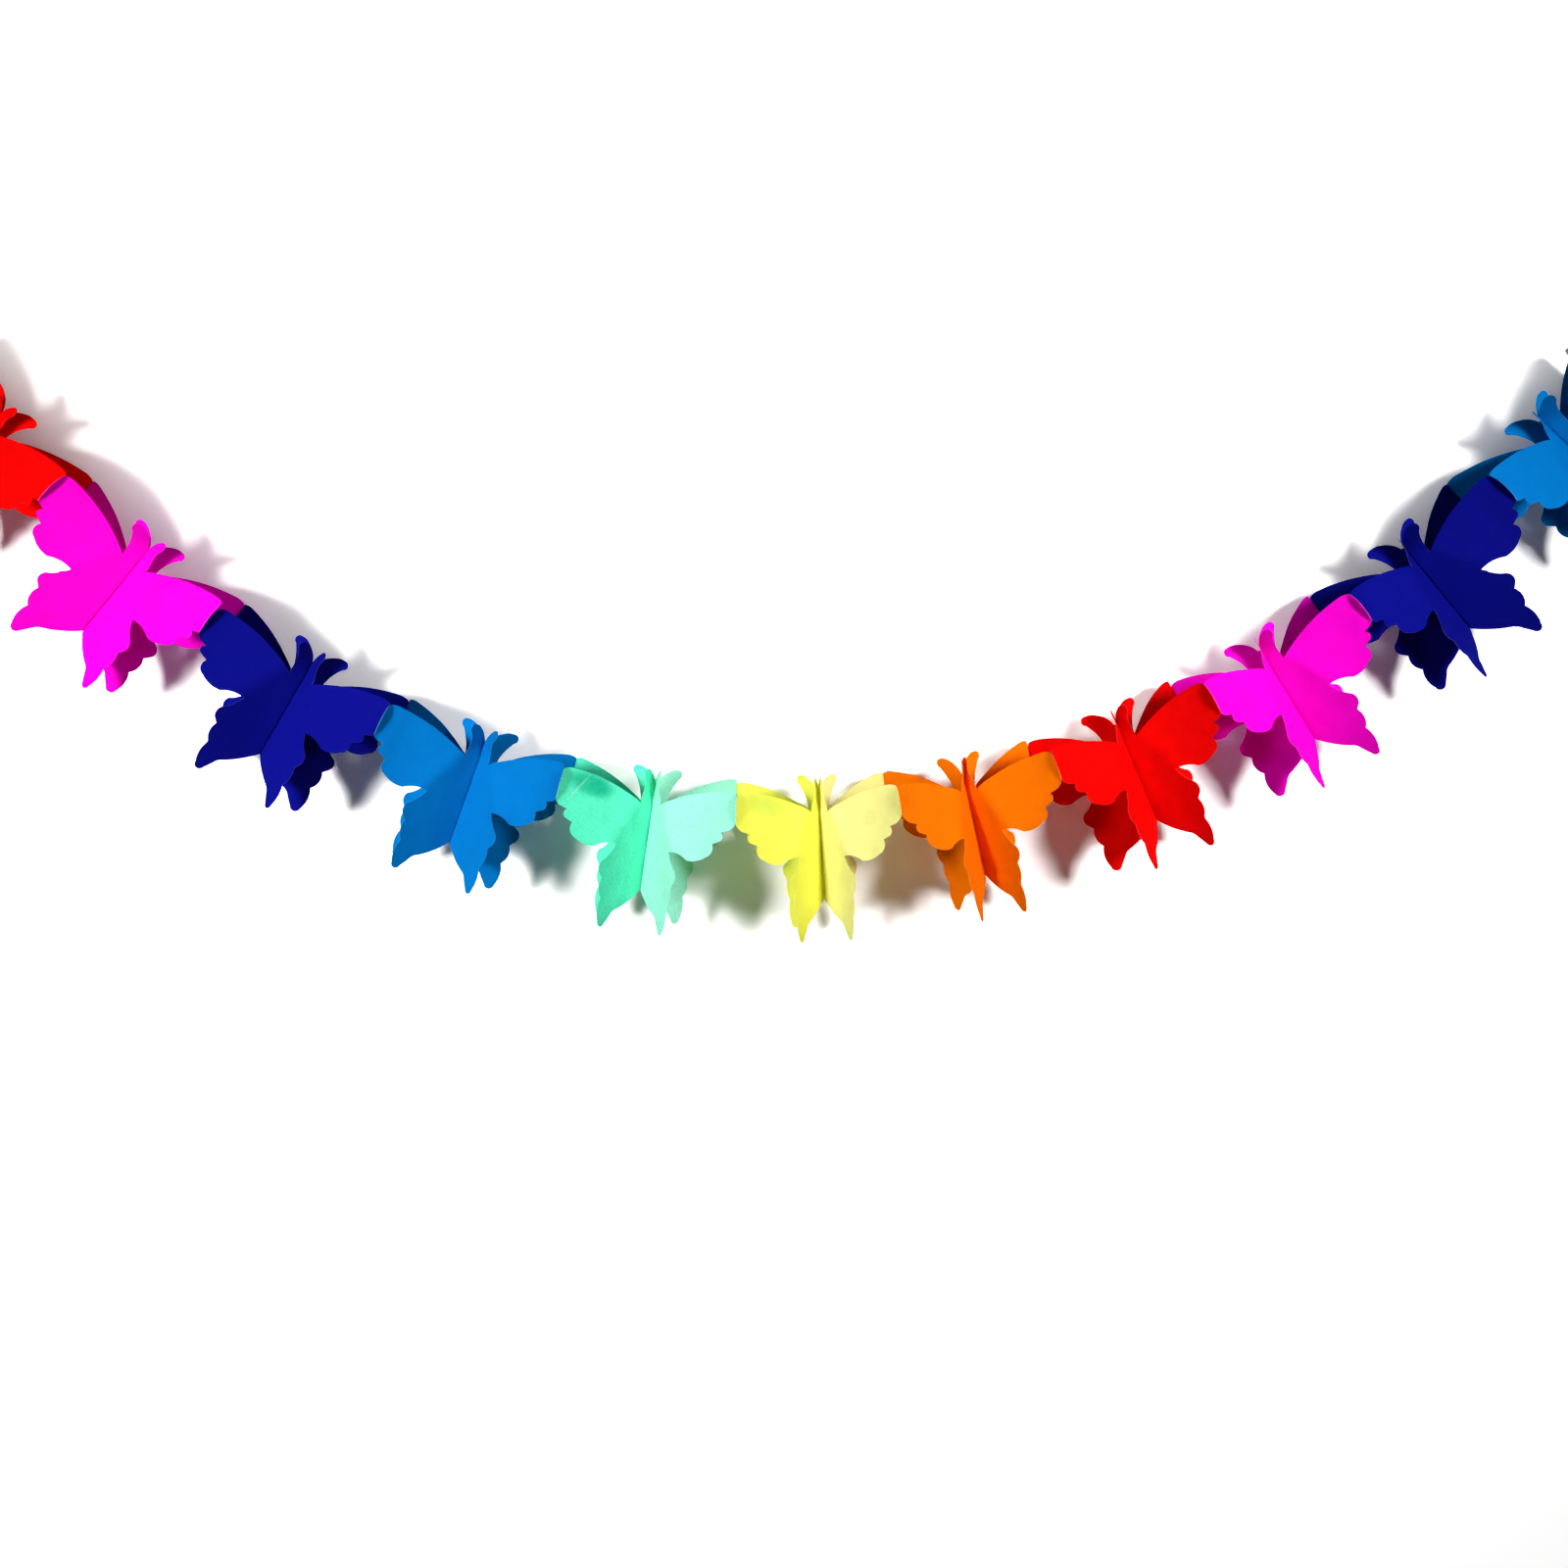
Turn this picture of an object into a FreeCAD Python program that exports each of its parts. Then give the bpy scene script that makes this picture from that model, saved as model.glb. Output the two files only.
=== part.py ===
"""Paper butterfly garland, in millimetres.

Die-cut paper butterflies stand on edge in a row.  Every sheet turns one wing to the front (-Y) and the
other to the wall (+Y).  Two sheets of one colour are glued together along their bodies, and open away
from each other like a book.  The wing tips of one colour are glued to the tips of the next.  The string
of cells hangs in a catenary from the punched holes of two end cards.

+X runs along the garland, +Z is up, and the origin is the hole in the left end card.
"""
import FreeCAD, Part
import math
import os

Vector = FreeCAD.Vector

# A flat sheet's width from tip to tip, and the share of the sheets' reach that each pitch takes up, from
# each butterfly's body to the next.
SPAN = 194.0
STRETCH = [0.980, 0.980, 0.943, 0.880, 0.822, 0.730, 0.807, 0.802, 0.865, 0.914]
COLOURS = ["red", "magenta", "navy", "light_blue", "mint", "yellow",
           "orange", "red", "magenta", "navy", "light_blue"]

# The hanging curve, and the butterfly next to its lowest point.
CATENARY = 726.0
LOWEST_BUTTERFLY = 5
LOWEST_OFFSET = 38.0

# Paper and glue.
PAPER = 0.3
GLUE_HALF = 2.4

# How far each butterfly's left and right sheets open from its body, in degrees, in front and at the back.
FRONT_OPENING = [(58, 58), (57, 56), (47, 47), (46, 44), (38, 30), (29, 25),
                 (21, 27), (30, 38), (33, 40), (36, 49), (45, 46)]
BACK_OPENING = [(74, 74), (72, 74), (70, 78), (68, 64), (49, 46), (34, 34),
                (34, 41), (70, 60), (74, 62), (72, 66), (66, 66)]
CREASE_LEAST = -90.0
SQUARE = 90.0

# End cards.
CARD = 1.2
CARD_LAP = 3.2
CARD_MARGIN = 4.0
CARD_CORNER = 6.0
HANG_HOLE_RADIUS = 2.0

# The span at which the outline below is drawn.
DRAWN_SPAN = 194.0


def sized(drawn):
    """A drawn size, point or outline, at the sheet's real size."""
    if isinstance(drawn, (tuple, list)):
        return type(drawn)(sized(part) for part in drawn)
    return drawn * SPAN / DRAWN_SPAN


# Half of the flat sheet, as distance out from the body line and height over the antenna notch.  In an
# outline, a pair is a straight line's end, and two pairs are an arc's middle and end.
HEAD_TOP = sized(14.0)
BODY_FOOT = sized(-71.0)
CURVE_HEIGHT = sized(-32.0)
NOTCH = sized((16.4, 0.0))
FORK = sized((40.5, -33.8))
GLUE_TOP = sized((86.7, 25.0))
WING_TIP = sized((97.0, 8.0))
TIP_HEEL = sized((91.0, -4.5))
ANTENNA = sized([((6.3, 21.0), (13.0, 26.3)), ((17.5, 28.4), (22.5, 28.8)),
                 ((26.6, 25.8), (24.3, 21.4))])
ANTENNA.append((sized((19.8, 14.0)), NOTCH))
LEADING_EDGE = [sized(((46.0, 16.5), (77.0, 25.4))), (sized((82.5, 25.8)), GLUE_TOP)]
TIP_EDGE = [(sized((94.8, 18.0)), WING_TIP), (sized((95.5, 0.5)), TIP_HEEL)]
SCALLOPS = sized([(84.5, -7.2), ((88.0, -10.5), (86.0, -14.3)), (80.0, -17.6),
                  ((82.2, -23.3), (78.0, -29.2)), ((70.5, -34.0), (61.0, -35.7))])
SCALLOPS.append((sized((51.0, -32.8)), FORK))
LOWER_WING = sized([((45.6, -40.5), (52.0, -45.8)), ((56.6, -50.3), (55.0, -56.8)), (51.3, -60.8),
                    ((53.2, -68.5), (49.3, -76.8)), ((52.2, -86.5), (50.6, -95.5)),
                    ((47.3, -100.0), (42.0, -97.6)), (36.5, -91.5), ((33.5, -88.2), (29.5, -86.3))])
LOWER_WING.append((sized((15.5, -79.9)), (GLUE_HALF, BODY_FOOT)))

# Reach of the flat face that splits a wing at its tip fold, the least room between that fold and a corner
# of the outline, and how close is close enough.
SPLIT_REACH = 2 * SPAN
CORNER_CLEARANCE = 0.5
FOLD_TOLERANCE = 1e-6
ANGLE_TOLERANCE = 1e-11


def catenary(arc):
    """Point and slope angle of the hanging curve, at a distance along it from its lowest point."""
    x = CATENARY * math.asinh(arc / CATENARY)
    z = math.hypot(CATENARY, arc) - CATENARY
    return Vector(x, 0, z), math.atan(arc / CATENARY)


def body_arcs():
    """Distance of each butterfly's body along the curve."""
    arcs = [0.0]
    for share in STRETCH:
        arcs.append(arcs[-1] + 2 * share * GLUE_TOP[0])
    shift = LOWEST_OFFSET - arcs[LOWEST_BUTTERFLY]
    return [arc + shift for arc in arcs]


def tip_arc(arcs, index, side):
    """Distance along the curve of the tips glued on one side of a butterfly (-1 left, 1 right)."""
    other = index + side
    if 0 <= other < len(arcs):
        return (arcs[index] + arcs[other]) / 2
    return arcs[index] + (arcs[index] - arcs[index - side]) / 2


def directions(arc, side):
    """Out along the curve to one side, and up square to it."""
    lean = catenary(arc)[1]
    out = Vector(math.cos(lean), 0, math.sin(lean)) * side
    return out, Vector(-math.sin(lean), 0, math.cos(lean))


def tip_plane(arcs, index, side):
    """The glued tips' plane, seen from a body: its distance at notch height, and its slant."""
    tips = tip_arc(arcs, index, side)
    out, up = directions(arcs[index], side)
    along_tips = directions(tips, side)[1]
    slant = along_tips.dot(out) / along_tips.dot(up)
    step = catenary(tips)[0] - catenary(arcs[index])[0]
    height = step.dot(up) + CURVE_HEIGHT
    return step.dot(out) - slant * height, slant


class Panel:
    """A flat part of the folded sheet in its place.

    x runs out from the plane where two sheets' bodies are glued, y out to the wing tip, z up.  A point of
    the flat sheet is (out, up): its distance out from the body line and its height over the notch.
    """

    def __init__(self, zero, out, up):
        self.zero, self.out, self.up = zero, out, up
        self.normal = out.cross(up)
        self.folds = []

    def at(self, out, up):
        """Place of a flat point, in the middle of the paper."""
        return self.zero + self.out * out + self.up * up

    def fold(self, hinge, turn):
        """The panel past a fold through a flat point, turned about that point."""
        pivot = self.at(*hinge)
        zero = pivot + turn.multVec(self.zero - pivot)
        return Panel(zero, turn.multVec(self.out), turn.multVec(self.up))

    def skin(self, out, up, level):
        """Place of a flat point at a level through the paper's thickness, mitred at the folds."""
        lift = self.normal
        for hinge, line, other in self.folds:
            if abs(distance_from(hinge, line, (out, up))) < FOLD_TOLERANCE:
                lift = (self.normal + other.normal) / (1 + self.normal.dot(other.normal))
        return self.at(out, up) + lift * level

    def solid(self, face):
        """The paper of a flat face, with its thickness, in its place."""
        wires = []
        for level in (-PAPER / 2, PAPER / 2):
            edges = []
            for edge in face.OuterWire.OrderedEdges:
                halfway = edge.valueAt((edge.FirstParameter + edge.LastParameter) / 2)
                flat = [edge.firstVertex(True).Point, halfway, edge.lastVertex(True).Point]
                start, middle, end = (self.skin(p.x, p.z, level) for p in flat)
                if isinstance(edge.Curve, Part.Line):
                    edges.append(Part.makeLine(start, end))
                else:
                    edges.append(Part.Arc(start, middle, end).toShape())
            wires.append(Part.Wire(edges))
        return Part.makeLoft(wires, True, True)


def distance_from(hinge, line, point):
    """How far a flat point is past a unit line through another; past is outward if the line runs down."""
    return (point[1] - hinge[1]) * line[0] - (point[0] - hinge[0]) * line[1]


def join(first, second, hinge, line):
    """Tell two panels that they meet at a fold, a flat line through a flat point."""
    first.folds.append((hinge, line, second))
    second.folds.append((hinge, line, first))


def flat_face(start, steps):
    """Flat face inside an outline."""
    edges = []
    here = Vector(start[0], 0, start[1])
    for step in steps:
        if isinstance(step[0], tuple):
            middle, there = (Vector(p[0], 0, p[1]) for p in step)
            edges.append(Part.Arc(here, middle, there).toShape())
        else:
            there = Vector(step[0], 0, step[1])
            edges.append(Part.makeLine(here, there))
        here = there
    edges.append(Part.makeLine(here, Vector(start[0], 0, start[1])))
    return Part.Face(Part.Wire(edges))


def corner_on_fold(hinge, line, corner):
    """A corner of the outline, moved onto a fold that it almost meets."""
    past = distance_from(hinge, line, corner)
    if abs(past) > CORNER_CLEARANCE:
        return corner
    return (corner[0] + past * line[1], corner[1] - past * line[0])


def clear_of(hinge, line, steps):
    """An outline's steps, with no corner that almost meets a fold."""
    moved = []
    for step in steps:
        if isinstance(step[0], tuple):
            moved.append((step[0], corner_on_fold(hinge, line, step[1])))
        else:
            moved.append(corner_on_fold(hinge, line, step))
    return moved


def past_line(hinge, line):
    """Large flat face on the outer side of a line that runs down through a point."""
    along = Vector(line[0], 0, line[1]) * SPLIT_REACH
    away = Vector(-along.z, 0, along.x)
    middle = Vector(hinge[0], 0, hinge[1])
    corners = [middle - along, middle + along, middle + along + away, middle - along + away]
    return Part.Face(Part.makePolygon(corners + corners[:1]))


def unit(out, up):
    """A flat direction, at length 1."""
    length = math.hypot(out, up)
    return (out / length, up / length)


def creased_wing(body, glued, glued_middle):
    """The upper wing, folded from the body panel until the top of its tip meets the glued plane."""
    crease = body.at(*FORK) - body.at(*NOTCH)
    opening = math.degrees(body.out.getAngle(Vector(0, 1, 0)))
    low, high = CREASE_LEAST, SQUARE - opening
    while high - low > ANGLE_TOLERANCE:
        angle = (low + high) / 2
        wing = body.fold(NOTCH, FreeCAD.Rotation(crease, angle))
        if wing.at(*GLUE_TOP).dot(glued) < glued_middle:
            low = angle
        else:
            high = angle
    return wing


def half_sheet(reach, slant, opening):
    """The half of a sheet that goes out to +y, and how far out its tip reaches."""
    strip = Panel(Vector(PAPER / 2, 0, 0), Vector(0, 1, 0), Vector(0, 0, 1))
    body = strip.fold((GLUE_HALF, 0), FreeCAD.Rotation(Vector(0, 0, -1), opening))
    glued = Vector(1, 0, -slant)
    wing = creased_wing(body, glued, reach - PAPER / 2 * glued.Length)
    tip = wing.fold(GLUE_TOP, FreeCAD.Rotation(wing.normal, glued))

    tip_crease = wing.normal.cross(glued)
    tip_line = unit(-tip_crease.dot(wing.out), -tip_crease.dot(wing.up))
    join(strip, body, (GLUE_HALF, 0), (0, -1))
    join(body, wing, NOTCH, unit(FORK[0] - NOTCH[0], FORK[1] - NOTCH[1]))
    join(wing, tip, GLUE_TOP, tip_line)

    strip_face = flat_face((0, HEAD_TOP), [(GLUE_HALF, HEAD_TOP), (GLUE_HALF, BODY_FOOT), (0, BODY_FOOT)])
    body_face = flat_face((GLUE_HALF, HEAD_TOP), ANTENNA + [FORK] + LOWER_WING)
    wing_face = flat_face(NOTCH, LEADING_EDGE + clear_of(GLUE_TOP, tip_line, TIP_EDGE + SCALLOPS))
    tip_side = past_line(GLUE_TOP, tip_line)
    solids = [body.solid(body_face)]
    solids.append(wing.solid(wing_face.cut(tip_side).Faces[0]))
    solids.append(tip.solid(wing_face.common(tip_side).Faces[0]))
    return strip.solid(strip_face).fuse(solids), tip.at(*WING_TIP).y


def folded_sheet(reach, slant, front_opening, back_opening):
    """A whole sheet in its own frame, and how far its front and back tips reach."""
    front, front_depth = half_sheet(reach, slant, front_opening)
    back, back_depth = half_sheet(reach, slant, back_opening)
    front = front.mirror(Vector(0, 0, 0), Vector(0, 1, 0))
    return front.fuse(back).removeSplitter(), front_depth, back_depth


def hang(shape, arc, side):
    """Turn a shape from its own frame into its place on the curve."""
    if side < 0:
        shape = shape.mirror(Vector(0, 0, 0), Vector(1, 0, 0))
    point, lean = catenary(arc)
    shape.translate(Vector(0, 0, -CURVE_HEIGHT))
    shape.rotate(Vector(0, 0, 0), Vector(0, 1, 0), -math.degrees(lean))
    shape.translate(point)
    return shape


def card_middle():
    """Height of the middle of the glued tips."""
    return (GLUE_TOP[1] + TIP_HEEL[1]) / 2


def end_card(front_depth, back_depth):
    """A stiff card glued over the last tips, with the hole that the garland hangs by."""
    width = front_depth + back_depth + 2 * CARD_MARGIN
    height = GLUE_TOP[1] - TIP_HEEL[1] + 2 * CARD_LAP
    corner = Vector(0, -front_depth - CARD_MARGIN, card_middle() - height / 2)
    card = Part.makeBox(CARD, width, height, corner)
    corners = [e for e in card.Edges if abs(e.tangentAt(e.FirstParameter).x) > 0.5]
    card = card.makeFillet(CARD_CORNER, corners)
    hole = Part.makeCylinder(HANG_HOLE_RADIUS, 3 * CARD, Vector(-CARD, 0, card_middle()), Vector(1, 0, 0))
    return card.cut(hole)


def hang_hole(arc, side):
    """Middle of an end card's hole."""
    out, up = directions(arc, side)
    return catenary(arc)[0] + up * (card_middle() - CURVE_HEIGHT) + out * (CARD / 2)


def build():
    """Every piece by name, with the left end card's hole at the origin."""
    arcs = body_arcs()
    last = len(arcs) - 1
    pieces = {}
    for index, colour in enumerate(COLOURS):
        openings = zip(FRONT_OPENING[index], BACK_OPENING[index])
        for side, word, opening in zip((-1, 1), ("left", "right"), openings):
            reach, slant = tip_plane(arcs, index, side)
            sheet, front_depth, back_depth = folded_sheet(reach, slant, *opening)
            pieces[f"butterfly_{index + 1:02d}_{colour}_{word}_sheet"] = hang(sheet, arcs[index], side)
            if (index, side) in ((0, -1), (last, 1)):
                card = end_card(front_depth, back_depth)
                pieces[f"{word}_end_card"] = hang(card, tip_arc(arcs, index, side), side)
    origin = hang_hole(tip_arc(arcs, 0, -1), -1)
    for shape in pieces.values():
        shape.translate(origin * -1)
    for word, index, side in (("left", 0, -1), ("right", last, 1)):
        arc = tip_arc(arcs, index, side)
        print(word, "hang hole at", hang_hole(arc, side) - origin, "pointing", directions(arc, side)[0])
    return pieces


def main():
    os.makedirs("parts", exist_ok=True)
    for name, shape in build().items():
        if len(shape.Solids) != 1 or not shape.isValid():
            raise ValueError(f"{name} is not one sound solid")
        shape.Solids[0].exportStep(f"parts/{name}.step")


main()
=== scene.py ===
import bisect
import math

import bmesh
import bpy
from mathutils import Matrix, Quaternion, Vector, noise


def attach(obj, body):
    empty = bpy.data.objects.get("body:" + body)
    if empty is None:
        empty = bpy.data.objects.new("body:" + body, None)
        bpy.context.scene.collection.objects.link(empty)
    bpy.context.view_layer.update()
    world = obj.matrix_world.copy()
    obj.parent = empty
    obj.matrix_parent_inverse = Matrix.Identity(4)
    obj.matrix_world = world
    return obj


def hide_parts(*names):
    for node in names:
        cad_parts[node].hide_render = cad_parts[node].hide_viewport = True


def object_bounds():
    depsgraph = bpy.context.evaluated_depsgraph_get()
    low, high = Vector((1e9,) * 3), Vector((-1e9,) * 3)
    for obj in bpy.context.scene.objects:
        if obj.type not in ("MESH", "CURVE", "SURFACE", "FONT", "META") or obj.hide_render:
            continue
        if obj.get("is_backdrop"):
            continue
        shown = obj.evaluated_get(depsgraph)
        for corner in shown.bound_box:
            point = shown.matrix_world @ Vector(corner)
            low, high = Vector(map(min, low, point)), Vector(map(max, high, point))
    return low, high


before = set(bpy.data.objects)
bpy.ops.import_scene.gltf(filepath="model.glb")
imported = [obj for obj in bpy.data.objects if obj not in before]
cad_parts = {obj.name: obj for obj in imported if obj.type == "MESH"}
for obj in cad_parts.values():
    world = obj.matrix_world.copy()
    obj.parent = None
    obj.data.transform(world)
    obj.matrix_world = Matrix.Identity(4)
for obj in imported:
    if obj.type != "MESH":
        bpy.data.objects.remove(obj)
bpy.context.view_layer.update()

# The two sides of a butterfly, and which way each lies along the garland.
SIDES = {"left": -1, "right": 1}

# The share of the sheets' reach that each pitch takes up, from each butterfly's body to the next.
STRETCH = [0.980, 0.980, 0.943, 0.880, 0.822, 0.730, 0.807, 0.802, 0.865, 0.914]
COLOURS = ["red", "magenta", "navy", "light_blue", "mint", "yellow",
           "orange", "red", "magenta", "navy", "light_blue"]

# The hanging curve, the butterfly next to its lowest point, how far along the curve it hangs from there, and
# where the curve crosses every body, as a height over the antenna notch.
CATENARY = 0.726
LOWEST_BUTTERFLY = 5
LOWEST_OFFSET = 0.038
CURVE_HEIGHT = -0.032

# How far each butterfly's left and right sheets open from its body, in degrees, in front and at the back.
FRONT_OPENING = [(58, 58), (57, 56), (47, 47), (46, 44), (38, 30), (29, 25),
                 (21, 27), (30, 38), (33, 40), (36, 49), (45, 46)]
BACK_OPENING = [(74, 74), (72, 74), (70, 78), (68, 64), (49, 46), (34, 34),
                (34, 41), (70, 60), (74, 62), (72, 66), (66, 66)]

# The thickness of the paper and of the end cards, and half of the body's glued strip.
PAPER = 0.0003
CARD = 0.0012
GLUE_HALF = 0.0024

# The rounded folds at the body, between the wings and at the tip, each a few small folds side by side.
BODY_RADIUS = 0.004
CREASE_RADIUS = 0.022
TIP_RADIUS = 0.005
BEND_FOLDS = 6

# The fold between the wings is searched for, from its least angle, until it is known this closely.
CREASE_LEAST = math.radians(-90)
CREASE_EXACT = 1e-7

# A right angle.
SQUARE = math.radians(90)

# Half of the flat sheet, as distance out from the body line and height over the antenna notch.  In an
# outline, a pair is a straight line's end, and two pairs are an arc's middle and end.
HEAD_TOP = 0.014
BODY_FOOT = -0.071
NOTCH = Vector((0.0164, 0.0))
FORK = Vector((0.0405, -0.0338))
GLUE_TOP = Vector((0.0867, 0.025))
TIP_HEEL = Vector((0.091, -0.0045))
ANTENNA = [((0.0063, 0.021), (0.013, 0.0263)), ((0.0175, 0.0284), (0.0225, 0.0288)),
           ((0.0266, 0.0258), (0.0243, 0.0214)), ((0.0198, 0.014), NOTCH)]
LEADING_EDGE = [((0.046, 0.0165), (0.077, 0.0254)), ((0.0825, 0.0258), GLUE_TOP)]
TIP_EDGE = [((0.0948, 0.018), (0.097, 0.008)), ((0.0955, 0.0005), TIP_HEEL)]
SCALLOPS = [(0.0845, -0.0072), ((0.088, -0.0105), (0.086, -0.0143)), (0.080, -0.0176),
            ((0.0822, -0.0233), (0.078, -0.0292)), ((0.0705, -0.034), (0.061, -0.0357)),
            ((0.051, -0.0328), FORK)]
LOWER_WING = [((0.0456, -0.0405), (0.052, -0.0458)), ((0.0566, -0.0503), (0.055, -0.0568)),
              (0.0513, -0.0608), ((0.0532, -0.0685), (0.0493, -0.0768)),
              ((0.0522, -0.0865), (0.0506, -0.0955)), ((0.0473, -0.100), (0.042, -0.0976)),
              (0.0365, -0.0915), ((0.0335, -0.0882), (0.0295, -0.0863)),
              ((0.0155, -0.0799), (GLUE_HALF, BODY_FOOT))]

# The line out from the fork that parts the wings, and how far the antenna leans out as it rises.
WINGS_PART = Vector((0.010, -0.004))
ANTENNA_LEAN = 0.75

# How finely arcs are drawn and the sheet is scored, and how near two points are to be one.
ARC_STEP = 0.0013
GRID_STEP = 0.0028
SAME_POINT = 1e-6

# On the flat sheet, the front wing lies towards -y and the back wing towards +y.
FRONT = -1
BACK = 1

# A sheet's two materials, and the share of a face's normal that tells its side from its cut edge.
PAPER_SIDE = 0
CUT_EDGE = 1
SIDE_SHARE = 0.5

# Gentle shape that handled paper keeps: waves, which shift from butterfly to butterfly, bowed upper wings,
# curled tails and bent antennae.  It sets in over a reach from where the sheet is held.
WAVE = 0.0011
WAVE_SIZE = 0.045
WAVE_SHIFT = 3.7
WING_BOW = 0.0014
TAIL_CURL = 0.001
TAIL_FROM = 0.060
TAIL_TO = 0.105
ANTENNA_LIFT = 0.33
BACK_ANTENNA_LIFT = -0.12
HOLD_REACH = 0.02
TIP_REACH = 0.025

# Screen colours of the papers, of the card and of paper where glue has soaked in or is creased.
PAPER_COLOURS = {
    "red": (242, 2, 2),
    "magenta": (247, 3, 214),
    "navy": (8, 12, 132),
    "light_blue": (1, 122, 200),
    "mint": (102, 252, 212),
    "yellow": (255, 254, 100),
    "orange": (255, 130, 2),
}
CARD_COLOUR = (240, 238, 230)
GLUE_TINT = (0, 198, 182)
CREASE_TINT = (200, 255, 238)

# Sheets painted paler as painted light, for the stronger light that falls on them, by colour and side, and
# how far.
PAINTED_LIGHT_PALER = {("mint", "right"): 0.46, ("yellow", "right"): 0.42}

# How strongly the fibres show, and how much paler and more fibrous a cut edge is.
PAPER_FIBRE = {"mint": 0.12, "yellow": 0.03, "light_blue": 0.06, "orange": 0.05}
PLAIN_FIBRE = 0.04
EDGE_PALER = 0.3
EDGE_FIBRE = 2

# Patterns in the paper: each noise's scale, detail and roughness, and the part of its range that shows.
# Fibres are noise that is stretched and turned.
PULP = (70, 3, 0.5, 0.3, 0.7)
FIBRES = (1500, 2, 0.6, 0.35, 0.7)
SPECKS = (620, 4, 0.65, 0.35, 0.65)
BLOTCHES = (90, 2, 0.5, 0.3, 0.7)
PULP_TONES = (0.96, 1.03)
BLOTCH_TONES = (0.75, 1.0)
FIBRE_STRETCH = (1.0, 1.0, 0.22)
FIBRE_SLANT = (0.6, 0.4, 0.2)

# The paper's tooth, its sheen and the light that it lets through.
SPECK_TOOTH = 0.6
TOOTH_RANGE = 0.8
TOOTH_ROUGHNESS = (0.78, 0.92)
TOOTH_BUMP = 0.35
TOOTH_DEPTH = 0.0002
PAPER_SHEEN = 0.04
LIGHT_THROUGH = 0.3

# How strongly the glue spot and its crease show, by colour and side, and where on the flat front wing.
GLUE_SHOWS = {("mint", "left"): (0.9, 0.3), ("yellow", "left"): (0.16, 0.0)}
SPOT_MIDDLE = (-0.062, 0.013)
SPOT_TURN = math.radians(-16)
SPOT_SIZE = (0.019, 0.0085)
SPOT_SOFT = 0.45
CREASE_MIDDLE = (-0.0745, 0.010)
CREASE_TURN = math.radians(44)
CREASE_SIZE = (0.0125, 0.0008)
CREASE_SOFT = 0.8

# Colour sockets of a Mix node, among those for its other kinds of value.
MIX_FIRST = 6
MIX_SECOND = 7
MIX_RESULT = 2

# The room: how far the wall stands behind and the floor below, the wall's colour, the shares of it that the
# camera sees and that light the paper, and the light from all around.
WALL_GAP = 0.006
WALL_SIZE = 6.0
FLOOR_DROP = 1.1
WALL_COLOUR = (0.86, 0.85, 0.84)
SEEN_SHARE = 1.55
LIT_SHARE = 0.55
ROOM_LIGHT = 0.07

# The wall's glow grows between two distances from a curve just under the garland, or past its ends.
GLOW_DROP = 0.03
GLOW_FROM = 0.07
GLOW_TO = 0.22
GLOW_NEAR = 0.02
GLOW_FAR = 0.88
GLOW_REACH = 0.66

# The lamps: the place of each and the point it faces, both from the curve's lowest point, and its power.
LAMPS = {"left": (Vector((-1.03, -1.4, 0.22)), Vector((-0.40, 0, 0.11)), 3.92),
         "right": (Vector((0.92, -1.4, 0.42)), Vector((0.36, 0, 0.21)), 3.5)}
LAMP_SIZE = 0.28
LAMP_SPREAD = math.radians(54)

# The camera stands square to the garland, a little left of its lowest point and above it.
CAMERA_PLACE = Vector((-0.0297, -1.496, 0.1546))
CAMERA_LENS = 42.1
CAMERA_SENSOR = 36
CAMERA_SHIFT = (0.0291, -0.0779)


# ---- the hanging curve ---------------------------------------------------------------------------------

def catenary(arc):
    """Point and slope angle of the hanging curve, at a distance along it from its lowest point."""
    x = CATENARY * math.asinh(arc / CATENARY)
    z = math.hypot(CATENARY, arc) - CATENARY
    return Vector((x, 0, z)), math.atan(arc / CATENARY)


def body_arcs():
    """Distance of each butterfly's body along the curve."""
    arcs = [0.0]
    for share in STRETCH:
        arcs.append(arcs[-1] + 2 * share * GLUE_TOP.x)
    shift = LOWEST_OFFSET - arcs[LOWEST_BUTTERFLY]
    return [arc + shift for arc in arcs]


def tip_arc(arcs, index, side):
    """Distance along the curve of the tips glued on one side of a butterfly (-1 left, 1 right)."""
    other = index + side
    if 0 <= other < len(arcs):
        return (arcs[index] + arcs[other]) / 2
    return arcs[index] + (arcs[index] - arcs[index - side]) / 2


def directions(arc, side):
    """Out along the curve to one side, and up square to it."""
    lean = catenary(arc)[1]
    out = Vector((math.cos(lean), 0, math.sin(lean))) * side
    return out, Vector((-math.sin(lean), 0, math.cos(lean)))


def tip_plane(arcs, index, side):
    """The glued tips' plane, seen from a body: its distance at notch height, and its slant."""
    tips = tip_arc(arcs, index, side)
    out, up = directions(arcs[index], side)
    along_tips = directions(tips, side)[1]
    slant = along_tips.dot(out) / along_tips.dot(up)
    step = catenary(tips)[0] - catenary(arcs[index])[0]
    height = step.dot(up) + CURVE_HEIGHT
    return step.dot(out) - slant * height, slant


def garland_origin(arcs):
    """Middle of the left end card's hole, which is the garland's origin."""
    arc = tip_arc(arcs, 0, -1)
    out, up = directions(arc, -1)
    card_middle = (GLUE_TOP.y + TIP_HEEL.y) / 2
    return catenary(arc)[0] + up * (card_middle - CURVE_HEIGHT) + out * (CARD / 2)


# ---- folding a sheet -----------------------------------------------------------------------------------

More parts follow.
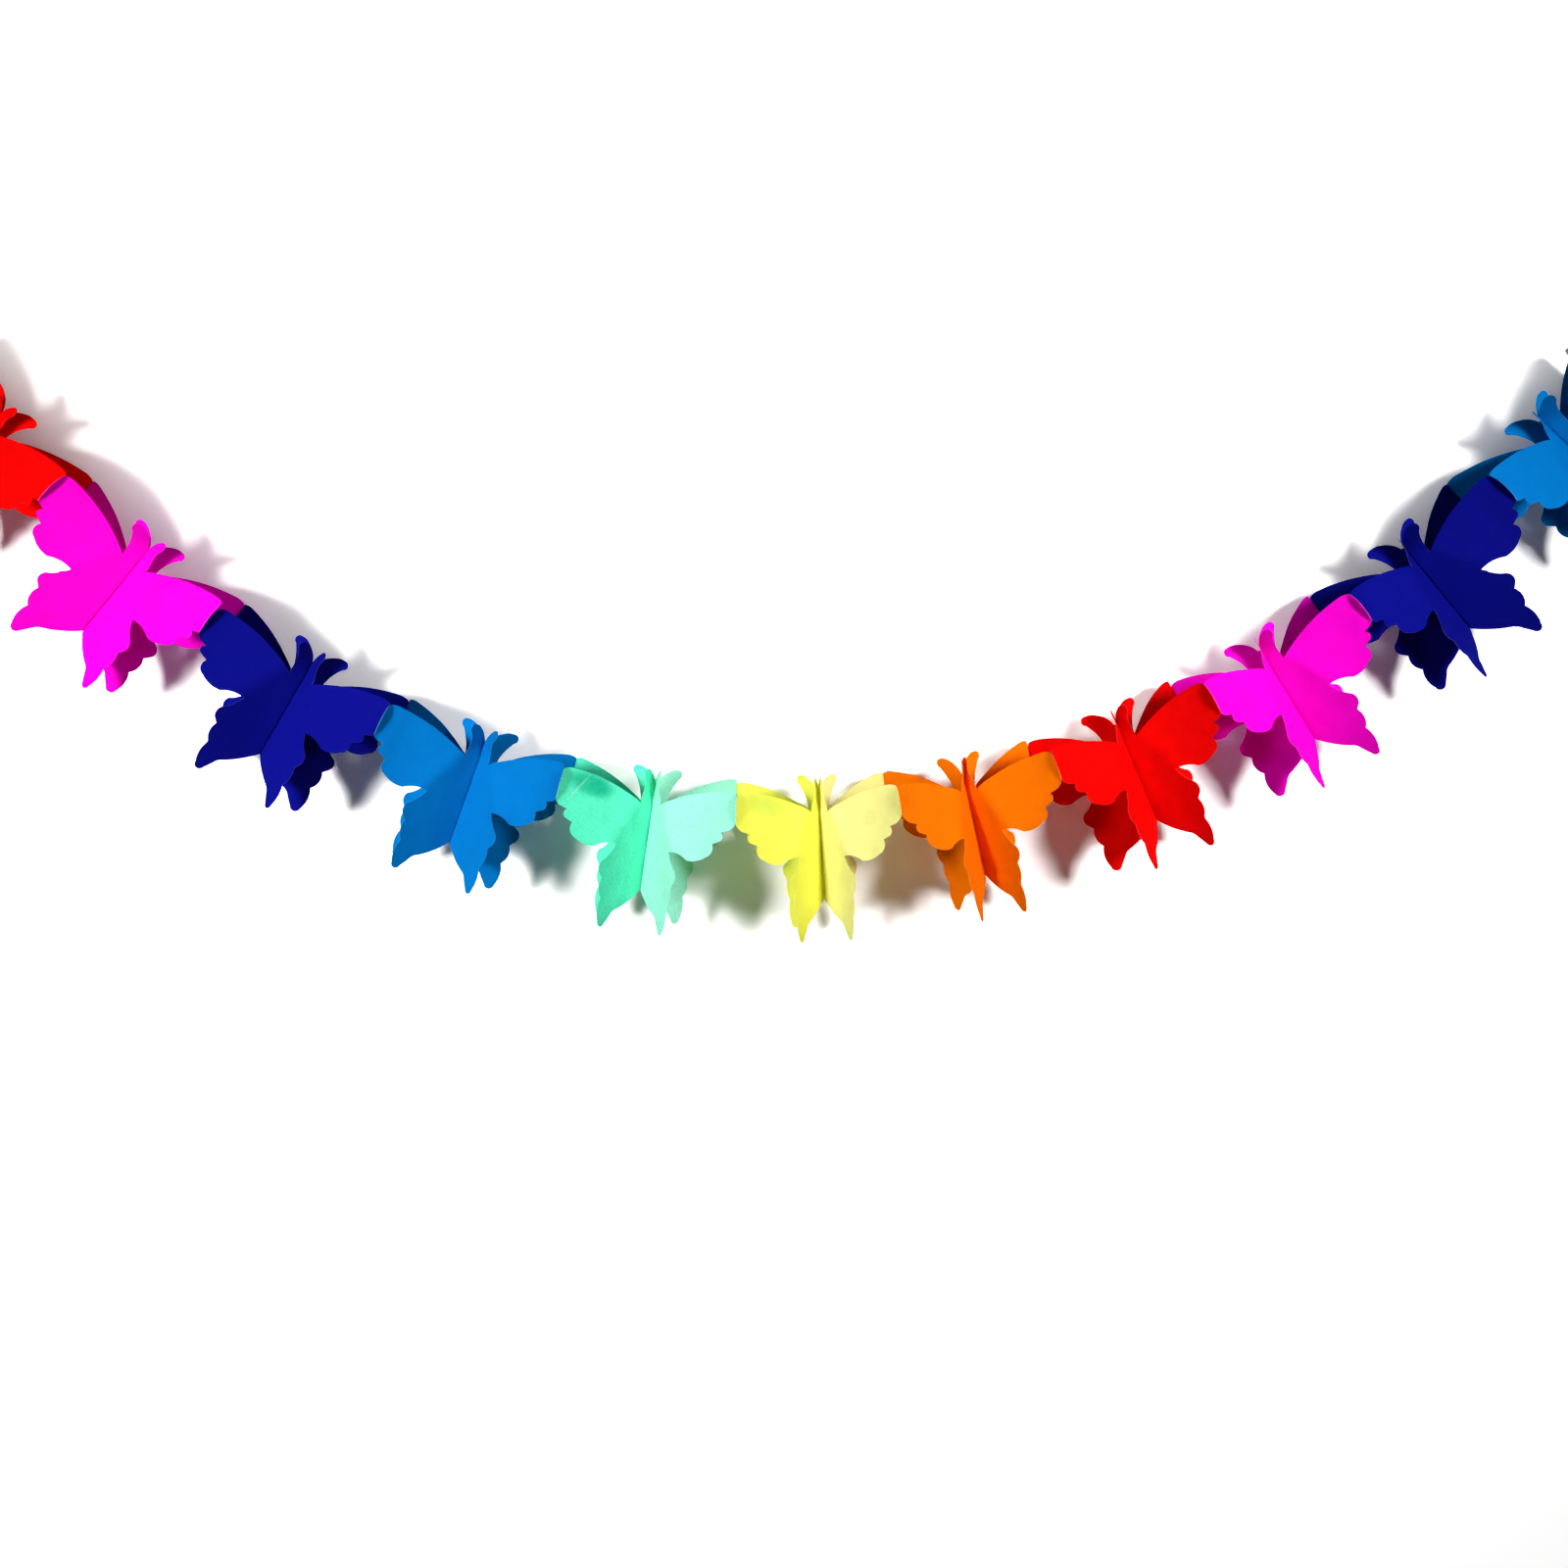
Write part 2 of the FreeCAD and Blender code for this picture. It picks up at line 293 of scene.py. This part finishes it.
class Panel:
    """A flat part of a folded sheet in its place: x out from the glued bodies, y out to the tip, z up."""

    def __init__(self, zero, out, up):
        self.zero, self.out, self.up = zero, out, up
        self.normal = out.cross(up)

    def at(self, flat, level=0.0):
        """Place of a flat point, at a level through the paper's thickness."""
        return self.zero + self.out * flat.x + self.up * flat.y + self.normal * level

    def fold(self, hinge, axis, angle):
        """The panel past a fold through a flat point."""
        turn = Quaternion(axis, angle)
        pivot = self.at(hinge)
        return Panel(pivot + turn @ (self.zero - pivot), turn @ self.out, turn @ self.up)


class Bend:
    """A rounded fold along a line that runs down the flat sheet: a few small folds side by side."""

    def __init__(self, panel, hinge, line, angle, radius, centred=True):
        self.hinge = hinge
        self.away = Vector((-line.y, line.x))
        self.folds_at, self.panels = [], [panel]
        step = 2 * radius * math.tan(abs(angle) / (2 * BEND_FOLDS))
        start = radius * math.tan(abs(angle) / 2) if centred else 0.0
        axis = panel.out * line.x + panel.up * line.y
        for count in range(BEND_FOLDS):
            past = (count + 0.5) * step - start
            self.folds_at.append(past)
            self.panels.append(self.panels[-1].fold(hinge + self.away * past, axis, angle / BEND_FOLDS))

    def past(self, flat):
        """How far a flat point is past the middle of the bend."""
        return (flat - self.hinge).dot(self.away)

    def panel_at(self, flat):
        """The panel that a flat point lies on."""
        return self.panels[bisect.bisect(self.folds_at, self.past(flat))]


class Wing:
    """One half of a sheet: it opens from the body, creases between its wings, and is glued at its tip."""

    def __init__(self, reach, slant, opening):
        strip = Panel(Vector((PAPER / 2, 0, 0)), Vector((0, 1, 0)), Vector((0, 0, 1)))
        self.body = Bend(strip, Vector((GLUE_HALF, 0)), Vector((0, -1)), opening, BODY_RADIUS)
        glued = Vector((1, 0, -slant))
        glued_middle = reach - PAPER / 2 * glued.length
        crease_line = (FORK - NOTCH).normalized()
        # Halving the range finds the angle that brings the tip to the glued plane.
        low, high = CREASE_LEAST, SQUARE - opening
        while high - low > CREASE_EXACT:
            angle = (low + high) / 2
            self.crease = Bend(self.body.panels[-1], NOTCH, crease_line, angle, CREASE_RADIUS, centred=False)
            if self.crease.panels[-1].at(GLUE_TOP).dot(glued) < glued_middle:
                low = angle
            else:
                high = angle
        wing = self.crease.panels[-1]
        across = wing.normal.cross(glued)
        tip_line = Vector((-across.dot(wing.out), -across.dot(wing.up))).normalized()
        self.tip = Bend(wing, GLUE_TOP, tip_line, -wing.normal.angle(glued), TIP_RADIUS)

    def has_upper_wing(self, flat):
        """Whether a flat point is past the crease, and not on the antenna or the lower wing."""
        on_antenna = flat.y > 0 and flat.x < NOTCH.x + ANTENNA_LEAN * flat.y
        below = (flat - FORK).cross(WINGS_PART) > 0
        on_lower_wing = (flat.x > FORK.x and below) or (flat.x < FORK.x and flat.y < FORK.y)
        return self.crease.past(flat) > 0 and not on_antenna and not on_lower_wing

    def place(self, flat, level):
        """Where a flat point lies once the sheet is folded."""
        if not self.has_upper_wing(flat):
            return self.body.panel_at(flat).at(flat, level)
        if self.tip.past(flat) < self.tip.folds_at[0]:
            return self.crease.panel_at(flat).at(flat, level)
        return self.tip.panel_at(flat).at(flat, level)


# ---- the flat butterfly --------------------------------------------------------------------------------

def arc_points(start, middle, end):
    """Points after start along the arc through three flat points."""
    a, b, c = (Vector((*p, 0)) for p in (start, middle, end))
    across = (b - a).cross(c - a)
    toward = (b - a).length_squared * (c - a) - (c - a).length_squared * (b - a)
    centre = a + toward.cross(across) / (2 * across.length_squared)
    radius = (a - centre).length
    turn = (a - centre).angle(b - centre) + (b - centre).angle(c - centre)
    count = max(2, math.ceil(radius * turn / ARC_STEP))
    for number in range(1, count + 1):
        swing = Quaternion(across.normalized(), turn * number / count)
        point = centre + swing @ (a - centre)
        yield Vector((point.x, point.y))


def outline_points():
    """Outline of half the sheet, from the head to the body's foot."""
    points = [Vector((0, HEAD_TOP)), Vector((GLUE_HALF, HEAD_TOP))]
    for step in ANTENNA + LEADING_EDGE + TIP_EDGE + SCALLOPS + LOWER_WING:
        if isinstance(step[0], tuple):
            points += arc_points(points[-1], *step)
        else:
            points.append(Vector(step))
    return points + [Vector((0, BODY_FOOT))]


def cut_along(bm, faces, point, direction):
    """Score faces along a line, so that they can bend there."""
    # The keys of a dictionary keep their order, so that every run cuts in the same order.
    edges = dict.fromkeys(edge for face in faces for edge in face.edges)
    verts = dict.fromkeys(vert for face in faces for vert in face.verts)
    everything = [*verts, *edges, *faces]
    bmesh.ops.bisect_plane(bm, geom=everything, plane_co=point, plane_no=direction, dist=SAME_POINT)


def flat_butterfly():
    """The die-cut sheet, flat in the plane of the bodies, scored into a grid."""
    bm = bmesh.new()
    bm.faces.new([bm.verts.new((0, p.x, p.y)) for p in outline_points()])
    half = bm.verts[:] + bm.edges[:] + bm.faces[:]
    bmesh.ops.mirror(bm, geom=half, axis="Y", merge_dist=SAME_POINT)
    low = min(v.co.z for v in bm.verts)
    high = max(v.co.z for v in bm.verts)
    wide = max(v.co.y for v in bm.verts)
    for row in range(1, math.ceil((high - low) / GRID_STEP)):
        cut_along(bm, bm.faces[:], (0, 0, low + row * GRID_STEP), (0, 0, 1))
    for column in range(1, math.ceil(wide / GRID_STEP)):
        for side in (FRONT, BACK):
            cut_along(bm, bm.faces[:], (0, side * column * GRID_STEP, 0), (0, 1, 0))
    bmesh.ops.recalc_face_normals(bm, faces=bm.faces[:])
    if bm.faces[0].normal.x < 0:
        bmesh.ops.reverse_faces(bm, faces=bm.faces[:])
    return bm


def smooth_ramp(value, low, high):
    """0 below low, 1 above high, and smooth between."""
    t = min(max((value - low) / (high - low), 0.0), 1.0)
    return t * t * (3 - 2 * t)


def paper_lift(flat, wing, antenna_lift, seed):
    """How far handled paper stands off its flat panel: waves, bowed wings, curled tails, bent antennae."""
    free = smooth_ramp(flat.x, GLUE_HALF, GLUE_HALF + HOLD_REACH)
    wave = noise.noise(Vector((flat.x / WAVE_SIZE, flat.y / WAVE_SIZE, seed))) * WAVE
    if wing.has_upper_wing(flat):
        to_glue = smooth_ramp(-wing.tip.past(flat), 0.0, TIP_REACH)
        from_crease = smooth_ramp(wing.crease.past(flat), 0.0, HOLD_REACH)
        return to_glue * (wave + WING_BOW * from_crease)
    tail = smooth_ramp(-flat.y, TAIL_FROM, TAIL_TO) * TAIL_CURL
    feeler = smooth_ramp(flat.y, 0.0, HOLD_REACH) * flat.x * antenna_lift
    return free * wave - free * tail - feeler


def finished_mesh(name, bm):
    """The mesh of a bmesh whose shape is done."""
    mesh = bpy.data.meshes.new(name)
    bm.to_mesh(mesh)
    bm.free()
    return mesh


def folded_sheet(name, flat_sheet, front, back, seed):
    """A sheet folded into its front and back wings, in its own frame, with its flat places as a UV map."""
    bm = flat_sheet.copy()
    for side, wing in ((FRONT, front), (BACK, back)):
        for bend in (wing.body, wing.crease, wing.tip):
            for past in bend.folds_at:
                point = bend.hinge + bend.away * past
                half = [f for f in bm.faces if f.calc_center_median().y * side > 0]
                cut_along(bm, half, (0, side * point.x, point.y), (0, side * bend.away.x, bend.away.y))
    bmesh.ops.solidify(bm, geom=bm.faces[:], thickness=PAPER)
    flat_map = bm.loops.layers.uv.new("flat")
    middle = sum(v.co.x for v in bm.verts) / len(bm.verts)
    for face in bm.faces:
        face.smooth = True
        face.material_index = CUT_EDGE if abs(face.normal.x) < SIDE_SHARE else PAPER_SIDE
        for loop in face.loops:
            loop[flat_map].uv = (loop.vert.co.y, loop.vert.co.z)
    for edge in bm.edges:
        if len({face.material_index for face in edge.link_faces}) > 1:
            edge.smooth = False
    for vert in bm.verts:
        side = FRONT if vert.co.y < 0 else BACK
        wing, antenna_lift = (front, ANTENNA_LIFT) if side == FRONT else (back, BACK_ANTENNA_LIFT)
        flat = Vector((abs(vert.co.y), vert.co.z))
        lift = paper_lift(flat, wing, antenna_lift, seed + side)
        level = math.copysign(PAPER / 2, vert.co.x - middle) + lift
        place = wing.place(flat, level)
        vert.co = (place.x, place.y * side, place.z)
    return finished_mesh(name, bm)


def hang(mesh, origin, arc, side):
    """Turn a sheet's mesh from its own frame into its place on the curve."""
    point, lean = catenary(arc)
    turn = Quaternion((0, 1, 0), -lean)
    for vert in mesh.vertices:
        own = Vector((vert.co.x * side, vert.co.y, vert.co.z - CURVE_HEIGHT))
        vert.co = turn @ own + point - origin
    if side < 0:
        mesh.flip_normals()


# ---- paper ---------------------------------------------------------------------------------------------

def linear(red, green, blue):
    """A screen colour, from 0 to 255, as the light it stands for on the standard curve of screens."""
    shares = [c / 255 for c in (red, green, blue)]
    light = [c / 12.92 if c <= 0.04045 else ((c + 0.055) / 1.055) ** 2.4 for c in shares]
    return (*light, 1.0)


def feed(tree, socket, value):
    """Give a socket its value, or link it from another socket."""
    if isinstance(value, bpy.types.NodeSocket):
        tree.links.new(value, socket)
    else:
        socket.default_value = value


def fresh_tree(owner, output_kind):
    """The emptied node tree of a material or a world, and its output."""
    owner.use_nodes = True
    tree = owner.node_tree
    tree.nodes.clear()
    return tree, tree.nodes.new(output_kind)


def new_group(name, inputs, outputs):
    """An empty shader node group with its sockets."""
    group = bpy.data.node_groups.new(name, "ShaderNodeTree")
    for label, kind, value in inputs:
        socket = group.interface.new_socket(label, in_out="INPUT", socket_type=kind)
        socket.default_value = value
    for label, kind in outputs:
        group.interface.new_socket(label, in_out="OUTPUT", socket_type=kind)
    start = group.nodes.new("NodeGroupInput")
    end = group.nodes.new("NodeGroupOutput")
    return group, start, end


def math_node(tree, operation, *values):
    """A Math node whose values are numbers or sockets."""
    node = tree.nodes.new("ShaderNodeMath")
    node.operation = operation
    for socket, value in zip(node.inputs, values):
        feed(tree, socket, value)
    return node.outputs[0]


def ramp_node(tree, value, low, high, to_low=0.0, to_high=1.0):
    """A smooth change from one value to another, as a value goes from low to high."""
    node = tree.nodes.new("ShaderNodeMapRange")
    node.interpolation_type = "SMOOTHSTEP"
    for label, number in (("From Min", low), ("From Max", high), ("To Min", to_low), ("To Max", to_high)):
        node.inputs[label].default_value = number
    tree.links.new(value, node.inputs["Value"])
    return node.outputs["Result"]


def pattern_node(tree, place, pattern, to_low=-0.5, to_high=0.5):
    """A pattern's noise read at a place, as a value that runs between two others."""
    scale, detail, roughness, low, high = pattern
    node = tree.nodes.new("ShaderNodeTexNoise")
    for label, number in (("Scale", scale), ("Detail", detail), ("Roughness", roughness)):
        node.inputs[label].default_value = number
    tree.links.new(place, node.inputs["Vector"])
    return ramp_node(tree, node.outputs["Fac"], low, high, to_low, to_high)


def paper_grain_group():
    """Cloudy pulp, loose fibres and fine tooth of coloured paper."""
    group, start, end = new_group(
        "paper_grain",
        [("Place", "NodeSocketVector", (0, 0, 0)), ("Fibre", "NodeSocketFloat", 1.0)],
        [("Tone", "NodeSocketFloat"), ("Tooth", "NodeSocketFloat")])
    place = start.outputs["Place"]
    cloud = pattern_node(group, place, PULP, *PULP_TONES)
    stretched = group.nodes.new("ShaderNodeMapping")
    stretched.inputs["Scale"].default_value = FIBRE_STRETCH
    stretched.inputs["Rotation"].default_value = FIBRE_SLANT
    group.links.new(place, stretched.inputs["Vector"])
    fibre = pattern_node(group, stretched.outputs[0], FIBRES)
    speck = pattern_node(group, place, SPECKS)
    mixed = math_node(group, "ADD", fibre, speck)
    strong = math_node(group, "MULTIPLY", mixed, start.outputs["Fibre"])
    tone = math_node(group, "MULTIPLY", cloud, math_node(group, "ADD", strong, 1.0))
    group.links.new(tone, end.inputs["Tone"])
    tooth = math_node(group, "ADD", fibre, math_node(group, "MULTIPLY", speck, SPECK_TOOTH))
    group.links.new(tooth, end.inputs["Tooth"])
    return group


def glue_mark_group():
    """Where glue has soaked through near a tip: a blotchy slanted oval, and the pale crease across it."""
    group, start, end = new_group(
        "glue_mark",
        [("Flat", "NodeSocketVector", (0, 0, 0)), ("Place", "NodeSocketVector", (0, 0, 0))],
        [("Spot", "NodeSocketFloat"), ("Crease", "NodeSocketFloat")])
    masks = []
    for middle, turn, size, soft in ((SPOT_MIDDLE, SPOT_TURN, SPOT_SIZE, SPOT_SOFT),
                                     (CREASE_MIDDLE, CREASE_TURN, CREASE_SIZE, CREASE_SOFT)):
        own = group.nodes.new("ShaderNodeMapping")
        own.vector_type = "TEXTURE"
        own.inputs["Location"].default_value = (*middle, 0)
        own.inputs["Rotation"].default_value = (0, 0, turn)
        own.inputs["Scale"].default_value = (*size, 1)
        group.links.new(start.outputs["Flat"], own.inputs["Vector"])
        length = group.nodes.new("ShaderNodeVectorMath")
        length.operation = "LENGTH"
        group.links.new(own.outputs[0], length.inputs[0])
        masks.append(ramp_node(group, length.outputs["Value"], 1 - soft, 1 + soft, 1.0, 0.0))
    blotches = pattern_node(group, start.outputs["Place"], BLOTCHES, *BLOTCH_TONES)
    group.links.new(math_node(group, "MULTIPLY", masks[0], blotches), end.inputs["Spot"])
    group.links.new(masks[1], end.inputs["Crease"])
    return group


def place_group(tree, group, **values):
    """A node group placed in a material, with numbers or links for its inputs."""
    node = tree.nodes.new("ShaderNodeGroup")
    node.node_tree = group
    for label, value in values.items():
        feed(tree, node.inputs[label], value)
    return node


def mix_colour(tree, blend, factor, first, second):
    """A colour Mix node whose colours and factor are values or sockets."""
    node = tree.nodes.new("ShaderNodeMix")
    node.data_type = "RGBA"
    node.blend_type = blend
    for number, value in ((0, factor), (MIX_FIRST, first), (MIX_SECOND, second)):
        feed(tree, node.inputs[number], value)
    return node.outputs[MIX_RESULT]


def mix_shader(tree, factor, first, second):
    """A node that gives one of two nodes' shaders, or a share of both."""
    node = tree.nodes.new("ShaderNodeMixShader")
    for socket, value in zip(node.inputs, (factor, first.outputs[0], second.outputs[0])):
        feed(tree, socket, value)
    return node


def paper_material(name, colour, fibre, groups, glue=None):
    """Coloured paper: pulp, fibres and tooth, some light let through, and a mark where glue soaked in."""
    material = bpy.data.materials.new(name)
    tree, output = fresh_tree(material, "ShaderNodeOutputMaterial")
    paper = tree.nodes.new("ShaderNodeBsdfPrincipled")
    where = tree.nodes.new("ShaderNodeTexCoord")
    grain = place_group(tree, groups["grain"], Place=where.outputs["Object"], Fibre=fibre)
    toned = mix_colour(tree, "MULTIPLY", 1.0, linear(*colour), grain.outputs["Tone"])
    if glue:
        spot_shows, crease_shows = glue
        flat = tree.nodes.new("ShaderNodeUVMap")
        flat.uv_map = "flat"
        mark = place_group(tree, groups["mark"], Flat=flat.outputs["UV"], Place=where.outputs["Object"])
        spot = math_node(tree, "MULTIPLY", mark.outputs["Spot"], spot_shows)
        toned = mix_colour(tree, "MULTIPLY", spot, toned, linear(*GLUE_TINT))
        fold = math_node(tree, "MULTIPLY", mark.outputs["Crease"], crease_shows)
        toned = mix_colour(tree, "MIX", fold, toned, linear(*CREASE_TINT))
    tree.links.new(toned, paper.inputs["Base Color"])
    rough = ramp_node(tree, grain.outputs["Tooth"], -TOOTH_RANGE, TOOTH_RANGE, *TOOTH_ROUGHNESS)
    tree.links.new(rough, paper.inputs["Roughness"])
    paper.inputs["Specular IOR Level"].default_value = PAPER_SHEEN
    bump = tree.nodes.new("ShaderNodeBump")
    bump.inputs["Strength"].default_value = TOOTH_BUMP
    bump.inputs["Distance"].default_value = TOOTH_DEPTH
    tree.links.new(grain.outputs["Tooth"], bump.inputs["Height"])
    tree.links.new(bump.outputs["Normal"], paper.inputs["Normal"])
    through = tree.nodes.new("ShaderNodeBsdfTranslucent")
    tree.links.new(toned, through.inputs["Color"])
    both = mix_shader(tree, LIGHT_THROUGH, paper, through)
    tree.links.new(both.outputs[0], output.inputs["Surface"])
    return material


def looked_at(tree):
    """1 where the camera sees the room, straight, mirrored or through glass; 0 for light on its way."""
    path = tree.nodes.new("ShaderNodeLightPath")
    clear = math_node(tree, "SUBTRACT", path.outputs["Is Transmission Ray"], path.outputs["Is Diffuse Ray"])
    not_straight = math_node(tree, "MAXIMUM", path.outputs["Is Glossy Ray"], clear)
    return math_node(tree, "MAXIMUM", path.outputs["Is Camera Ray"], not_straight)


def wall_glow(tree, low_point):
    """How brightly the wall glows: little near the garland, whose curve is nearly a parabola, more away."""
    where = tree.nodes.new("ShaderNodeTexCoord")
    parts = tree.nodes.new("ShaderNodeSeparateXYZ")
    tree.links.new(where.outputs["Object"], parts.inputs[0])
    across = math_node(tree, "SUBTRACT", parts.outputs["X"], low_point.x)
    rise = math_node(tree, "MULTIPLY", math_node(tree, "MULTIPLY", across, across), 0.5 / CATENARY)
    curve = math_node(tree, "ADD", rise, low_point.z - GLOW_DROP)
    away = math_node(tree, "ABSOLUTE", math_node(tree, "SUBTRACT", parts.outputs["Z"], curve))
    beyond = math_node(tree, "SUBTRACT", math_node(tree, "ABSOLUTE", across), GLOW_REACH)
    farther = math_node(tree, "MAXIMUM", away, beyond)
    return ramp_node(tree, farther, GLOW_FROM, GLOW_TO, GLOW_NEAR, GLOW_FAR)


def stage_material(name, colour, low_point):
    """Plain matt paint that the camera sees brighter and glowing, and that is clear from behind."""
    material = bpy.data.materials.new(name)
    tree, output = fresh_tree(material, "ShaderNodeOutputMaterial")
    paint, bright_paint = (tree.nodes.new("ShaderNodeBsdfDiffuse") for _ in range(2))
    paint.inputs["Color"].default_value = (*(part * LIT_SHARE for part in colour), 1)
    bright_paint.inputs["Color"].default_value = (*(part * SEEN_SHARE for part in colour), 1)
    light = tree.nodes.new("ShaderNodeEmission")
    tree.links.new(wall_glow(tree, low_point), light.inputs["Strength"])
    both = tree.nodes.new("ShaderNodeAddShader")
    tree.links.new(bright_paint.outputs[0], both.inputs[0])
    tree.links.new(light.outputs[0], both.inputs[1])
    front = mix_shader(tree, looked_at(tree), paint, both)
    facing = tree.nodes.new("ShaderNodeNewGeometry")
    clear = tree.nodes.new("ShaderNodeBsdfTransparent")
    sided = mix_shader(tree, facing.outputs["Backfacing"], front, clear)
    tree.links.new(sided.outputs[0], output.inputs["Surface"])
    return material


def paler(colour, share):
    """A screen colour, part of the way to white."""
    return [part + share * (255 - part) for part in colour]


def make_materials():
    """Each colour's paper and cut edge, by colour and sheet, and the stiff white card."""
    groups = {"grain": paper_grain_group(), "mark": glue_mark_group()}
    papers = {}
    for colour, tint in PAPER_COLOURS.items():
        fibre = PAPER_FIBRE.get(colour, PLAIN_FIBRE)
        edge = paper_material(f"{colour}_cut_edge", paler(tint, EDGE_PALER), EDGE_FIBRE * fibre, groups)
        for word in SIDES:
            # Painted light: the right mint and yellow sheets are painted paler, for the stronger light on
            # them.
            shade = paler(tint, PAINTED_LIGHT_PALER.get((colour, word), 0.0))
            glue = GLUE_SHOWS.get((colour, word))
            face = paper_material(f"{colour}_{word}_paper", shade, fibre, groups, glue)
            papers[colour, word] = (face, edge)
    return papers, paper_material("white_card", CARD_COLOUR, PLAIN_FIBRE, groups)


# ---- putting it together -------------------------------------------------------------------------------

def add_object(name, mesh):
    """A new object in the scene."""
    made = bpy.data.objects.new(name, mesh)
    bpy.context.scene.collection.objects.link(made)
    return made


def make_garland(papers, card):
    """Hang every folded sheet in place of its plain one, finish the end cards, and give the origin."""
    arcs = body_arcs()
    origin = garland_origin(arcs)
    flat_sheet = flat_butterfly()
    for index, colour in enumerate(COLOURS):
        openings = zip(FRONT_OPENING[index], BACK_OPENING[index])
        for (word, side), opening in zip(SIDES.items(), openings):
            reach, slant = tip_plane(arcs, index, side)
            front, back = (Wing(reach, slant, math.radians(angle)) for angle in opening)
            node = f"butterfly_{index + 1:02d}_{colour}_{word}_sheet"
            mesh = folded_sheet(node, flat_sheet, front, back, WAVE_SHIFT * index + side)
            hang(mesh, origin, arcs[index], side)
            for paper in papers[colour, word]:
                mesh.materials.append(paper)
            sheet = add_object(f"folded_{node}", mesh)
            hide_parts(node)
            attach(sheet, "root")
    flat_sheet.free()
    for word in SIDES:
        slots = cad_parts[f"{word}_end_card"].data.materials
        slots.clear()
        slots.append(card)
    return origin


def make_stage(origin):
    """A pale wall close behind the garland, and a floor well below it."""
    low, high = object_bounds()
    middle = (low + high) / 2
    white = stage_material("pale_wall", WALL_COLOUR, -origin)
    for name, turn, place in (("wall", SQUARE, (middle.x, high.y + WALL_GAP, 0)),
                              ("floor", 0.0, (middle.x, middle.y, low.z - FLOOR_DROP))):
        bm = bmesh.new()
        bmesh.ops.create_grid(bm, x_segments=1, y_segments=1, size=WALL_SIZE / 2)
        bmesh.ops.rotate(bm, verts=bm.verts[:], matrix=Quaternion((1, 0, 0), turn).to_matrix())
        bmesh.ops.translate(bm, verts=bm.verts[:], vec=place)
        mesh = finished_mesh(name, bm)
        mesh.materials.append(white)
        add_object(name, mesh)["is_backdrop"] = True


def area_light(name, place, target, power):
    """A square soft lamp that faces a point."""
    lamp = bpy.data.lights.new(name, "AREA")
    lamp.size = LAMP_SIZE
    lamp.spread = LAMP_SPREAD
    lamp.energy = power
    made = add_object(name, lamp)
    made.location = place
    made.rotation_mode = "QUATERNION"
    made.rotation_quaternion = (target - place).to_track_quat("-Z", "Y")
    made.visible_camera = False


def make_lights(origin):
    """A soft lamp at each side of the front, and a dim room that looks white."""
    for word, (place, target, power) in LAMPS.items():
        area_light(f"{word}_lamp", place - origin, target - origin, power)
    world = bpy.data.worlds.new("room")
    bpy.context.scene.world = world
    tree, output = fresh_tree(world, "ShaderNodeOutputWorld")
    shades = []
    for strength in (ROOM_LIGHT, 1.0):
        shade = tree.nodes.new("ShaderNodeBackground")
        shade.inputs["Strength"].default_value = strength
        shade.inputs["Color"].default_value = (1, 1, 1, 1)
        shades.append(shade)
    room = mix_shader(tree, looked_at(tree), *shades)
    tree.links.new(room.outputs[0], output.inputs["Surface"])


def make_camera(origin):
    """The camera, placed from the curve's lowest point."""
    camera = bpy.data.cameras.new("camera")
    camera.lens = CAMERA_LENS
    camera.sensor_width = CAMERA_SENSOR
    camera.shift_x, camera.shift_y = CAMERA_SHIFT
    made = add_object("camera", camera)
    made.location = CAMERA_PLACE - origin
    made.rotation_euler = (SQUARE, 0, 0)
    bpy.context.scene.camera = made


papers, card = make_materials()
garland_zero = make_garland(papers, card)
make_stage(garland_zero)
make_lights(garland_zero)
make_camera(garland_zero)
bpy.context.scene.view_settings.view_transform = "Standard"
